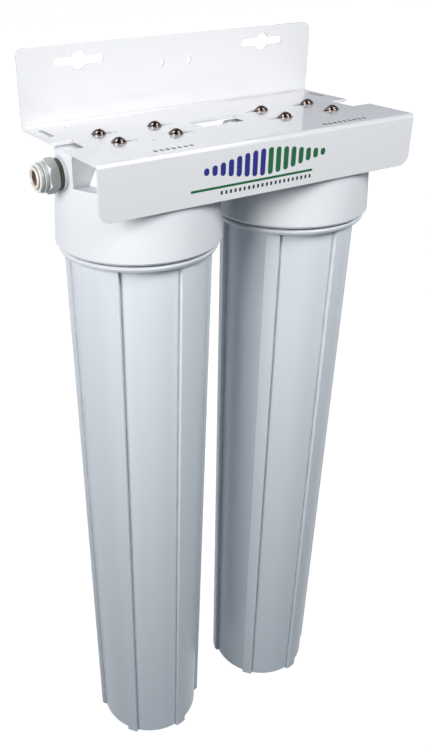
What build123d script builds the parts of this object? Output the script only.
from build123d import *
import math
import os

# Frame: X runs right along the wall, Y runs back into the wall, Z is up.
# The origin is on the wall face of the bracket, midway between its two hanger slots.
# All lengths are millimetres.

# Sizes shared by the whole part
cut_overrun = 2.0
fit_gap = 0.1
moving_gap = 0.3

# Bracket, one bent steel sheet: a tall flange on the wall, a shelf and a front lip
bracket_width = 262.0
front_step = 1.7
sheet = 2.0
bend_radius = 1.0
flange_height = 54.0
flange_corner_radius = 6.5
shelf_depth = 126.2
lip_height = 37.8
lip_corner_radius = 8.0
hanger_height = 42.5
hanger_spacing_share = 0.62863
hanger_slot_length = 41.0
hanger_slot_width = 6.0
hanger_eye_radius = 6.5
pin_hole_radius = 2.5
pin_hole_spacing = 24.6
pin_hole_drop = 8.2
notch_depth = 16.0
notch_length = 24.8
notch_from_wall = 54.3
window_width = 41.0
window_depth = 20.0
bend_hole_radius = 1.4
bend_hole_spacing_share = 0.8
bend_hole_from_wall = 17.5
vent_hole_radius = 1.2
vent_hole_from_axis = 24.0
keyhole_length = 14.2
keyhole_tip_radius = 0.9
keyhole_gap = 1.6

# Housing caps, moulded in white polypropylene and screwed up under the shelf
housing_spacing = 141.0
housing_from_wall = 63.5
cap_height = 73.1
cap_ledge_drop = 24.5
cap_ledge_radius = 59.5
cap_skirt_radius = 62.3
cap_edge_inset = 1.2
cap_edge_height = 1.6
core_top_drop = 3.0
core_top_radius = 37.5
core_foot_radius = 48.0
ceiling_drop = 31.0
port_drop = 17.5
port_block_width = 30.0
port_block_drop = 2.0
port_block_root = 4.0
port_block_round = 3.0
port_face_from_axis = 61.2
port_boss_radius = 11.6
port_boss_length = 8.0
port_bore_radius = 10.5
port_depth = 15.0
passage_radius = 7.0
feed_hole_from_axis = 30.0
standpipe_length = 26.9
standpipe_radius = 18.0
standpipe_bore_radius = 10.0
spigot_radius = 12.4
spigot_length = 4.0
pillar_radius = 5.6
pillar_spacing_x = 45.2
pillar_spacing_y = 29.7
pillar_forward = 1.8
pilot_hole_depth = 15.0
relief_radius = 32.0
relief_floor = 4.0

# Thread between cap and sump
thread_pitch = 6.0
thread_turns = 3.0
thread_depth = 2.0
thread_base_width = 3.2
thread_crest_width = 1.8
thread_start_drop = 45.0
seal_bore_radius = 52.4
seal_bore_length = 10.0
thread_clearance = 0.4
lead_in_height = 3.0
lead_in_width = 1.0

# Sumps, the long ribbed bowls
rim_gap = 1.8
rim_radius = 59.8
rim_height = 5.0
rim_crown_height = 2.0
rim_foot_inset = 3.2
neck_wall = 6.2
neck_top_gap = 2.0
sump_top_radius = 52.4
sump_foot_radius = 46.9
sump_top_wall = 6.6
sump_wall = 4.6
sump_floor = 6.0
sump_foot_round = 2.0
rib_count = 6
rib_first_angle = 40.0
rib_height = 3.5
rib_top_width = 10.9
rib_foot_width = 9.3
rib_end_rise = 2.6
rib_end_inset = 2.3
foot_height = 0.4
seat_ring_height = 6.7
seat_spigot_height = 5.0

# Large O-ring of each sump
o_ring_section = 4.0
o_ring_drop = 4.5

# Filter cartridges, 2.5 inches across and 20 inches long
cartridge_radius = 31.75
cartridge_length = 508.0
gasket_thickness = 3.0
gasket_radius = 20.0
cartridge_bore_radius = 13.0
core_tube_wall = 1.6
core_slot_length = 14.0
core_slot_width = 3.0
core_slot_rows = 16
core_slot_columns = 4
end_cap_thickness = 7.0
end_cap_rim = 0.9
end_cap_lip = 5.0
wrap_thickness = 0.8

# Housing screws with pan heads and a cross recess
screw_head_radius = 5.2
screw_head_height = 3.6
screw_crown_radius = 6.0
screw_crown_round = 0.35
screw_shank_radius = 2.4
screw_length = 15.0
recess_length = 6.0
recess_width = 1.3
recess_depth = 1.8

# Push-fit tube fittings for 3/8 inch tube
tube_bore_radius = 4.95
port_seal_thickness = 2.7
port_seal_section = 2.0
shank_length = 13.0
neck_radius = 8.8
hex_across_flats = 21.3
hex_length = 8.4
hex_turn = 7.0
hex_chamfer_drop = 1.8
shoulder_radius = 10.7
shoulder_length = 2.4
nose_groove_width = 0.9
nose_groove_depth = 1.3
nose_radius = 9.9
nose_length = 2.6
nose_round = 0.8
flow_bore_radius = 3.6
socket_depth = 6.0
tube_o_ring_section = 2.4
cavity_radius = 7.25
mouth_length = 3.6
collet_radius = 6.1
collet_bump_height = 0.85
collet_bump_length = 4.5
collet_flange_radius = 7.6
collet_flange_thickness = 1.5
collet_flare = 1.0
collet_travel = 1.5
collet_slot_width = 1.0
collet_slot_length = 6.5
collet_slots = 4
collet_mouth_gap = 0.25
grab_ring_thickness = 0.5
grab_ring_depth = 0.45
grab_ring_from_end = 1.6

# Joining nipple between the two caps
nipple_bore_radius = 6.5

# Places that follow from the sizes above
shelf_top = -hanger_height
shelf_under = shelf_top - sheet
port_height = shelf_under - port_drop
axis_y = -housing_from_wall
left_x = -housing_spacing / 2
right_x = housing_spacing / 2
cap_bottom = -cap_height
thread_bore_radius = seal_bore_radius + thread_depth
neck_root_radius = seal_bore_radius - thread_clearance
seal_bore_bottom = -ceiling_drop - seal_bore_length
neck_top = -ceiling_drop - neck_top_gap
rim_top = cap_bottom - rim_gap
rim_bottom = rim_top - rim_height
cartridge_top = -ceiling_drop - standpipe_length
cartridge_bottom = cartridge_top - cartridge_length
sump_bottom = cartridge_bottom - seat_ring_height - sump_floor
sump_foot = sump_bottom - foot_height


def cylinder(radius, bottom, top):
    """A plain round bar on the Z axis."""
    return Pos(0, 0, (bottom + top) / 2) * Cylinder(radius, top - bottom)


def tube(outer, inner, bottom, top):
    """A round tube on the Z axis."""
    bore = cylinder(inner, bottom - cut_overrun, top + cut_overrun)
    return cylinder(outer, bottom, top) - bore


def turned(points):
    """A solid turned about the Z axis from (radius, height) points."""
    return revolve(Plane.XZ * make_face(Polyline(*points, close=True)), Axis.Z)


def block(low, high):
    """A box from its lowest to its highest corner."""
    size = [b - a for a, b in zip(low, high)]
    middle = [(a + b) / 2 for a, b in zip(low, high)]
    return Pos(*middle) * Box(*size)


def soften_corner(face, point, radius):
    """Rounds the one corner of a flat face that lies nearest a point."""
    return fillet(face.vertices().sort_by_distance(point)[0], radius)


def pillar_places():
    """The four screw places of one housing, from its axis."""
    half_x = pillar_spacing_x / 2
    half_y = pillar_spacing_y / 2
    return [(sx * half_x, sy * half_y - pillar_forward) for sx in (-1, 1) for sy in (-1, 1)]


# Bracket
def bracket_sheet():
    """The bent sheet: flange up the wall, shelf forward, lip down. Its front is a little wider."""
    back = (0, -sheet)
    front = (-shelf_depth, 0)
    inner_back = (-sheet, 0)
    inner_front = (sheet - shelf_depth, -sheet)
    points = [
        (0, flange_height),
        back,
        inner_front,
        (inner_front[0], -lip_height),
        (front[0], -lip_height),
        front,
        inner_back,
        (inner_back[0], flange_height),
    ]
    face = make_face(Polyline(*points, close=True))
    for corner in (back, front):
        face = soften_corner(face, corner, bend_radius + sheet)
    for corner in (inner_back, inner_front):
        face = soften_corner(face, corner, bend_radius)
    front_edge = bracket_width / 2 + front_step
    body = extrude(Plane.YZ * face, front_edge, both=True)
    rear = block(
        (bracket_width / 2, -notch_from_wall - cut_overrun, -lip_height),
        (front_edge + cut_overrun, cut_overrun, flange_height + cut_overrun),
    )
    return body - rear - mirror(rear, about=Plane.YZ)


def round_sheet_corners(body):
    """Rounds the flange's upper and the lip's lower corners."""
    edges = body.edges().filter_by(Axis.Y)
    body = fillet(edges.group_by(Axis.Z)[-1], flange_corner_radius)
    edges = body.edges().filter_by(Axis.Y)
    return fillet(edges.group_by(Axis.Z)[0], lip_corner_radius)


def hanger_cut():
    """A hanger slot with a round eye at its middle, cut along Y."""
    outline = SlotOverall(hanger_slot_length, hanger_slot_width) + Circle(hanger_eye_radius)
    return extrude(Plane.XZ * outline, sheet + cut_overrun, both=True)


def keyhole_cut(direction):
    """A teardrop slot round a screw, its tail running towards the bracket's middle."""
    eye = Circle(screw_shank_radius + keyhole_gap)
    tip = Pos(direction * keyhole_length, 0) * Circle(keyhole_tip_radius)
    return extrude(make_hull(eye.edges() + tip.edges()), sheet + cut_overrun, both=True)


def make_bracket():
    body = round_sheet_corners(bracket_sheet())
    for side in (-1, 1):
        hanger = Pos(side * hanger_spacing_share * bracket_width / 2, 0, hanger_height)
        body -= hanger * hanger_cut()
        pin = Pos(side * pin_hole_spacing / 2, 0, hanger_height - pin_hole_drop)
        body -= pin * Rot(90, 0, 0) * Cylinder(pin_hole_radius, 2 * (sheet + cut_overrun))
        edge = side * bracket_width / 2
        inside = edge - side * notch_depth
        outside = edge + side * (front_step + cut_overrun)
        body -= block(
            (min(inside, outside), -notch_from_wall - notch_length, -sheet - cut_overrun),
            (max(inside, outside), -notch_from_wall, cut_overrun),
        )
        bend_hole = Pos(side * bend_hole_spacing_share * bracket_width / 2, -bend_hole_from_wall)
        body -= bend_hole * Cylinder(bend_hole_radius, 2 * (sheet + cut_overrun))
        vent = Pos(side * housing_spacing / 2, axis_y - vent_hole_from_axis)
        body -= vent * Cylinder(vent_hole_radius, 2 * (sheet + cut_overrun))
        for x, y in pillar_places():
            place = Pos(side * housing_spacing / 2 + x, axis_y + y)
            body -= place * keyhole_cut(-side)
    window = Pos(0, axis_y) * Box(window_width, window_depth, 2 * (sheet + cut_overrun))
    return Pos(0, 0, shelf_top) * (body - window)


# Caps
def thread_ridge(radius, crest_radius, start):
    """A helical ridge of trapezium section, rising from its start height."""
    path = Pos(0, 0, start) * Helix(thread_pitch, thread_pitch * thread_turns, radius)
    reach = crest_radius - radius
    root = -math.copysign(thread_clearance, reach)
    crest = thread_crest_width / 2
    flank = (thread_base_width / 2 - crest) / reach
    base = crest + flank * (reach - root)
    points = [(root, -base), (reach, -crest), (reach, crest), (root, base)]
    plane = Plane(origin=path @ 0, x_dir=(1, 0, 0), z_dir=(0, -1, 0))
    section = plane * make_face(Polyline(*points, close=True))
    return sweep(section, path=path, is_frenet=True)


def cap_shell():
    """Skirt, ledge and tapered core in one turned shape, solid down to the ceiling."""
    outer_edge = cap_skirt_radius - cap_edge_inset
    lead = thread_bore_radius + lead_in_width
    points = [
        (0, -core_top_drop),
        (core_top_radius, -core_top_drop),
        (core_foot_radius, -cap_ledge_drop),
        (cap_ledge_radius, -cap_ledge_drop),
        (cap_skirt_radius, cap_bottom + cap_edge_height),
        (outer_edge, cap_bottom),
        (lead, cap_bottom),
        (lead, cap_bottom + lead_in_height),
        (thread_bore_radius, cap_bottom + lead_in_height + lead_in_width),
        (thread_bore_radius, seal_bore_bottom - thread_depth),
        (seal_bore_radius, seal_bore_bottom),
        (seal_bore_radius, -ceiling_drop),
        (0, -ceiling_drop),
    ]
    return turned(points)


def port_blocks():
    """The two port blocks, as wide as the drum, each with a round boss for its port."""
    half = port_block_width / 2
    bottom = -cap_ledge_drop - port_block_root
    drum = cylinder(cap_ledge_radius, bottom, -port_block_drop)
    drum = fillet(drum.edges().group_by(Axis.Z)[-1], port_block_round)
    blocks = drum & block((-cap_skirt_radius, -half, bottom), (cap_skirt_radius, half, 0))
    boss = cylinder(port_boss_radius, port_face_from_axis - port_boss_length, port_face_from_axis)
    for side in (-1, 1):
        blocks += Pos(0, 0, -port_drop) * Rot(0, side * 90, 0) * boss
    return blocks


def pocket_cut():
    """Pockets in the top of the core, clear of the passage and the screw pillars."""
    outline = Circle(relief_radius) - Rectangle(2 * cap_skirt_radius, port_block_width)
    for x, y in pillar_places():
        outline -= Pos(x, y) * Circle(pillar_radius)
    floor = relief_floor - ceiling_drop
    return Pos(0, 0, floor) * extrude(outline, -floor)


def port_cuts():
    """Tapped ports at both ends of X, the feed hole and the clean water passage."""
    face = port_face_from_axis
    bottom = face - port_depth
    cuts = cylinder(standpipe_bore_radius, cartridge_top - 2 * spigot_length, -port_drop)
    for side in (-1, 1):
        pieces = [
            cylinder(port_bore_radius, bottom, face + cut_overrun),
            cylinder(passage_radius, 0 if side < 0 else feed_hole_from_axis, face),
        ]
        for piece in pieces:
            cuts += Pos(0, 0, -port_drop) * Rot(0, side * 90, 0) * piece
    feed = cylinder(passage_radius, -ceiling_drop - cut_overrun, -port_drop)
    return cuts + Pos(feed_hole_from_axis, 0, 0) * feed


def make_cap():
    """One cap, on its own axis, its top pads at height zero. Raw water enters at +X."""
    cap = cap_shell() + port_blocks()
    cap += cylinder(standpipe_radius, cartridge_top, -ceiling_drop)
    cap += cylinder(spigot_radius, cartridge_top - spigot_length, cartridge_top)
    cap -= pocket_cut()
    for x, y in pillar_places():
        cap += Pos(x, y) * cylinder(pillar_radius, -port_drop, 0)
    cap -= port_cuts()
    for x, y in pillar_places():
        cap -= Pos(x, y) * cylinder(screw_shank_radius + fit_gap, -pilot_hole_depth, cut_overrun)
    start = -thread_start_drop - thread_pitch * thread_turns
    return cap + thread_ridge(thread_bore_radius, seal_bore_radius, start)


# Sumps
def sump_outside():
    """Neck, rim and long tapered wall, solid."""
    crown = rim_top - rim_crown_height
    groove_mid = neck_top - o_ring_drop
    groove_floor = seal_bore_radius - moving_gap - o_ring_section - fit_gap
    half_groove = o_ring_section / 2 + fit_gap
    land = neck_root_radius - moving_gap
    points = [
        (0, neck_top),
        (land, neck_top),
        (land, groove_mid + half_groove),
        (groove_floor, groove_mid + half_groove),
        (groove_floor, groove_mid - half_groove),
        (land, groove_mid - half_groove),
        (neck_root_radius, seal_bore_bottom),
        (neck_root_radius, rim_top),
        (rim_radius - rim_crown_height / 2, rim_top),
        (rim_radius, rim_top - rim_crown_height / 2),
        (rim_radius, crown),
        (rim_radius - rim_foot_inset / 3, rim_bottom + rim_crown_height / 2),
        (rim_radius - rim_foot_inset, rim_bottom),
        (sump_top_radius, rim_bottom),
        (sump_foot_radius, sump_bottom),
        (0, sump_bottom),
    ]
    body = turned(points)
    low_edges = body.edges().filter_by(GeomType.CIRCLE).group_by(Axis.Z)[0]
    return fillet(low_edges, sump_foot_round)


def sump_ribs():
    """Six tapered ribs with parallel sides, each cut back at its end and standing just below the floor."""
    top = rim_bottom + rim_crown_height / 2
    slope = (sump_top_radius - sump_foot_radius) / (rim_bottom - sump_bottom)
    outer_top = sump_top_radius + rib_height + slope * (top - rim_bottom)
    outer_foot = sump_foot_radius + rib_height
    shell = turned(
        [
            (sump_foot_radius - rib_height, sump_foot),
            (outer_foot - rib_end_inset, sump_foot),
            (outer_foot, sump_foot + rib_end_rise),
            (outer_top, top),
            (sump_top_radius - rib_height, top),
        ]
    )
    outline = [
        (-rib_top_width / 2, top + cut_overrun),
        (rib_top_width / 2, top + cut_overrun),
        (rib_foot_width / 2, sump_foot - cut_overrun),
        (-rib_foot_width / 2, sump_foot - cut_overrun),
    ]
    bar = extrude(Plane.YZ * make_face(Polyline(*outline, close=True)), cap_skirt_radius)
    ribs = []
    for number in range(rib_count):
        angle = rib_first_angle + number * 360 / rib_count
        ribs.append(shell & (Rot(0, 0, angle) * bar))
    return ribs


def sump_inside():
    """The hollow: straight neck, tapered bore and a floor with the cartridge seat."""
    floor = sump_bottom + sump_floor
    points = [
        (0, neck_top + cut_overrun),
        (neck_root_radius - neck_wall, neck_top + cut_overrun),
        (neck_root_radius - neck_wall, rim_top),
        (sump_top_radius - sump_top_wall, rim_bottom),
        (sump_foot_radius - sump_wall, floor),
        (0, floor),
    ]
    return turned(points)


def make_sump():
    """One sump on its own axis, in the cap's heights."""
    sump = sump_outside()
    for rib in sump_ribs():
        sump += rib
    sump -= sump_inside()
    floor = sump_bottom + sump_floor
    sump += tube(gasket_radius, cartridge_bore_radius, floor - fit_gap, cartridge_bottom)
    spigot_top = cartridge_bottom + seat_spigot_height
    sump += cylinder(spigot_radius, floor - fit_gap, spigot_top) - cylinder(
        spigot_radius - core_tube_wall, floor, spigot_top + cut_overrun
    )
    start = -thread_start_drop - thread_pitch * thread_turns - thread_pitch / 2
    crest = thread_bore_radius - thread_clearance
    return sump + thread_ridge(neck_root_radius, crest, start)


def make_sump_o_ring():
    middle = seal_bore_radius - moving_gap - o_ring_section / 2
    return Pos(0, 0, neck_top - o_ring_drop) * Torus(middle, o_ring_section / 2)


# Cartridges
def core_tube(bottom, top):
    """A slotted plastic tube that water enters on its way to the outlet."""
    outer = cartridge_bore_radius + core_tube_wall
    tube_body = tube(outer, cartridge_bore_radius, bottom, top)
    row_step = (top - bottom) / core_slot_rows
    slot = extrude(
        Plane.YZ * SlotOverall(core_slot_length, core_slot_width, rotation=90),
        outer + cut_overrun,
    )
    for row in range(core_slot_rows):
        height = bottom + row_step * (row + 0.5)
        for column in range(core_slot_columns):
            angle = 360 / core_slot_columns * (column + (row % 2) / 2)
            tube_body -= Pos(0, 0, height) * Rot(0, 0, angle) * slot
    return tube_body


def gasket(bottom):
    return tube(gasket_radius, cartridge_bore_radius, bottom, bottom + gasket_thickness)


def end_cap(face, inward):
    """A moulded disc with a short lip round the end of the block."""
    outer = cartridge_radius + end_cap_rim
    inner_face = face + inward * end_cap_thickness
    lip_end = inner_face + inward * end_cap_lip
    disc = tube(outer, cartridge_bore_radius, min(face, inner_face), max(face, inner_face))
    bore = cartridge_radius + fit_gap
    lip = tube(outer, bore, min(inner_face, lip_end), max(inner_face, lip_end))
    return disc + lip


def carbon_cartridge():
    """Block, wrap, slotted core, two end caps and two gaskets."""
    low = cartridge_bottom + gasket_thickness
    high = cartridge_top - gasket_thickness
    block_low = low + end_cap_thickness
    block_high = high - end_cap_thickness
    core_radius = cartridge_bore_radius + core_tube_wall
    wrap_inner = cartridge_radius - wrap_thickness
    return {
        "carbon_block": tube(wrap_inner, core_radius, block_low, block_high),
        "carbon_wrap": tube(cartridge_radius, wrap_inner, block_low, block_high),
        "carbon_core_tube": core_tube(block_low, block_high),
        "carbon_top_end_cap": end_cap(high, -1),
        "carbon_bottom_end_cap": end_cap(low, 1),
        "carbon_top_gasket": gasket(high),
        "carbon_bottom_gasket": gasket(cartridge_bottom),
    }


def sediment_cartridge():
    """Spun sleeve on a slotted core, with a gasket at each end."""
    low = cartridge_bottom + gasket_thickness
    high = cartridge_top - gasket_thickness
    core_radius = cartridge_bore_radius + core_tube_wall
    return {
        "sediment_sleeve": tube(cartridge_radius, core_radius, low, high),
        "sediment_core_tube": core_tube(low, high),
        "sediment_top_gasket": gasket(high),
        "sediment_bottom_gasket": gasket(cartridge_bottom),
    }


# Screws
def make_screw():
    """A pan-head screw standing at height zero, its shank going down."""
    head = cylinder(screw_head_radius, 0, screw_head_height)
    head &= Pos(0, 0, screw_head_height - screw_crown_radius) * Sphere(screw_crown_radius)
    head = fillet(head.edges().filter_by(Plane.XY).group_by(Axis.Z)[-1], screw_crown_round)
    shank = cylinder(screw_shank_radius, -screw_length, 0)
    tip = shank.edges().filter_by(GeomType.CIRCLE).group_by(Axis.Z)[0]
    screw = head + chamfer(tip, screw_shank_radius / 2)
    recess = Box(recess_length, recess_width, 2 * recess_depth)
    recess += Box(recess_width, recess_length, 2 * recess_depth)
    return screw - Pos(0, 0, screw_head_height) * recess


def cap_screws(x):
    """Four screws through the shelf into one cap."""
    screw = make_screw()
    places = [Pos(x + px, axis_y + py, shelf_top) for px, py in pillar_places()]
    return Compound(children=[place * screw for place in places])


# Fittings, built on the Z axis with the port face at height zero and the tube leaving upwards
def hex_bar(bottom, top):
    """A hexagon with its corners chamfered at both ends."""
    flats = hex_across_flats / 2
    corners = flats / math.cos(math.pi / 6)
    step = (corners - flats) * math.tan(math.pi / 6)
    bar = Pos(0, 0, bottom) * extrude(RegularPolygon(flats, 6, major_radius=False), top - bottom)
    envelope = turned(
        [
            (0, bottom),
            (flats - step, bottom),
            (corners, bottom + hex_chamfer_drop / 2),
            (corners, top - hex_chamfer_drop),
            (flats - step, top),
            (0, top),
        ]
    )
    return Rot(0, 0, hex_turn) * bar & envelope


def fitting_lengths():
    """Heights of the fitting's steps above the port face."""
    hex_bottom = port_seal_thickness
    hex_top = hex_bottom + hex_length
    shoulder_top = hex_top + shoulder_length
    nose_bottom = shoulder_top + nose_groove_width
    nose_top = nose_bottom + nose_length
    return hex_bottom, hex_top, shoulder_top, nose_bottom, nose_top


def make_fitting():
    """Fitting body: tapped shank, hexagon, shoulder, groove, nose and stepped bore."""
    hex_bottom, hex_top, shoulder_top, nose_bottom, nose_top = fitting_lengths()
    shank = cylinder(port_bore_radius - fit_gap, -shank_length, -fit_gap)
    shank = chamfer(shank.edges().group_by(Axis.Z)[0], port_seal_section / 2)
    body = shank + cylinder(neck_radius, -port_seal_section, hex_bottom)
    body += hex_bar(hex_bottom, hex_top)
    body += cylinder(shoulder_radius, hex_top, shoulder_top)
    body += cylinder(nose_radius - nose_groove_depth, shoulder_top, nose_bottom)
    nose = cylinder(nose_radius, nose_bottom, nose_top)
    body += fillet(nose.edges().filter_by(GeomType.CIRCLE).group_by(Axis.Z)[-1], nose_round)
    sink = nose_top - collet_travel
    cavity_top = nose_top - collet_travel - mouth_length
    socket_top = o_ring_seat()
    bore = cylinder(flow_bore_radius, -shank_length - cut_overrun, cavity_top)
    bore += cylinder(tube_bore_radius, socket_top - socket_depth, cavity_top)
    bore += cylinder(cavity_radius, socket_top, cavity_top)
    bore += cylinder(collet_radius + collet_mouth_gap, cavity_top, nose_top)
    bore += cylinder(collet_flange_radius + moving_gap, sink, nose_top + cut_overrun)
    return body - bore


def o_ring_seat():
    """Height of the step that the tube O-ring lies on."""
    return port_seal_thickness


def make_tube_o_ring():
    middle = cavity_radius - fit_gap - tube_o_ring_section / 2
    return Pos(0, 0, o_ring_seat() + tube_o_ring_section / 2) * Torus(middle, tube_o_ring_section / 2)


def make_port_seal():
    return tube(neck_radius + fit_gap + port_seal_section, neck_radius + fit_gap, 0, port_seal_thickness)


def collet_heights():
    """Inner end, top of the retaining bump, and flange of the collet."""
    nose_top = fitting_lengths()[-1]
    bump_top = nose_top - collet_travel - mouth_length - collet_mouth_gap
    return bump_top - collet_bump_length, bump_top, nose_top


def make_collet():
    """Collet: slotted sleeve with a retaining bump inside and a flange outside."""
    end, bump_top, flange_bottom = collet_heights()
    face = flange_bottom + collet_flange_thickness
    bump = collet_radius + collet_bump_height
    round_off = collet_flange_thickness / 3
    body = turned(
        [
            (tube_bore_radius, end),
            (bump - collet_bump_height, end),
            (bump, end + collet_bump_height),
            (bump, bump_top - collet_bump_height),
            (collet_radius, bump_top),
            (collet_radius, flange_bottom),
            (collet_flange_radius, flange_bottom),
            (collet_flange_radius, face - round_off),
            (collet_flange_radius - round_off, face),
            (tube_bore_radius + collet_flare, face),
            (tube_bore_radius, face - collet_flare),
        ]
    )
    slot = block(
        (0, -collet_slot_width / 2, end - cut_overrun),
        (bump + cut_overrun, collet_slot_width / 2, end + collet_slot_length),
    )
    for number in range(collet_slots):
        body -= Rot(0, 0, number * 360 / collet_slots) * slot
    ring = grab_ring_place()
    outer = tube_bore_radius + grab_ring_depth + fit_gap
    return body - cylinder(outer, ring - fit_gap, ring + grab_ring_thickness + fit_gap)


def grab_ring_place():
    return collet_heights()[0] + grab_ring_from_end


def make_grab_ring():
    low = grab_ring_place()
    return tube(tube_bore_radius + grab_ring_depth, tube_bore_radius, low, low + grab_ring_thickness)


def make_nipple():
    """Double-ended joining nipple with a hexagon between the two caps."""
    span = housing_spacing - 2 * port_face_from_axis
    middle = span / 2
    half_hex = middle - port_seal_thickness
    body = hex_bar(-half_hex, half_hex)
    body += cylinder(neck_radius, -middle - port_seal_section, middle + port_seal_section)
    for side in (-1, 1):
        shank = cylinder(port_bore_radius - fit_gap, fit_gap + middle, middle + shank_length)
        body += Rot(0, 90 - side * 90, 0) * shank
    full = middle + shank_length + cut_overrun
    return body - cylinder(nipple_bore_radius, -full, full)


# Placing
def at_port(shape, x, direction):
    """Stands a fitting piece on a port face, leaving along -X or +X."""
    return Pos(x, axis_y, port_height) * Rot(0, direction * 90, 0) * shape


def at_housing(shape, x):
    """Hangs a cap, sump or cartridge piece on its axis under the shelf."""
    return Pos(x, axis_y, shelf_under) * shape


def build_nodes():
    """Every piece of the filter, under the name of its node."""
    nodes = {"bracket": make_bracket()}
    for side, x in (("left", left_x), ("right", right_x)):
        nodes[side + "_cap"] = at_housing(make_cap(), x)
        nodes[side + "_cap_screws"] = cap_screws(x)
        nodes[side + "_sump"] = at_housing(make_sump(), x)
        nodes[side + "_sump_o_ring"] = at_housing(make_sump_o_ring(), x)
    for name, piece in carbon_cartridge().items():
        nodes[name] = at_housing(piece, left_x)
    for name, piece in sediment_cartridge().items():
        nodes[name] = at_housing(piece, right_x)
    face = housing_spacing / 2 + port_face_from_axis
    for side, direction in (("outlet", -1), ("inlet", 1)):
        nodes[side + "_fitting"] = at_port(make_fitting(), direction * face, direction)
        nodes[side + "_port_seal"] = at_port(make_port_seal(), direction * face, direction)
        nodes[side + "_tube_o_ring"] = at_port(make_tube_o_ring(), direction * face, direction)
        nodes[side + "_collet"] = at_port(make_collet(), direction * face, direction)
        nodes[side + "_grab_ring"] = at_port(make_grab_ring(), direction * face, direction)
    inner_face = housing_spacing / 2 - port_face_from_axis
    nodes["joining_nipple"] = at_port(make_nipple(), 0, 1)
    nodes["left_nipple_seal"] = at_port(make_port_seal(), -inner_face, 1)
    nodes["right_nipple_seal"] = at_port(make_port_seal(), inner_face, -1)
    return nodes


os.makedirs("parts", exist_ok=True)
for node, shape in build_nodes().items():
    export_step(shape, "parts/" + node + ".step")
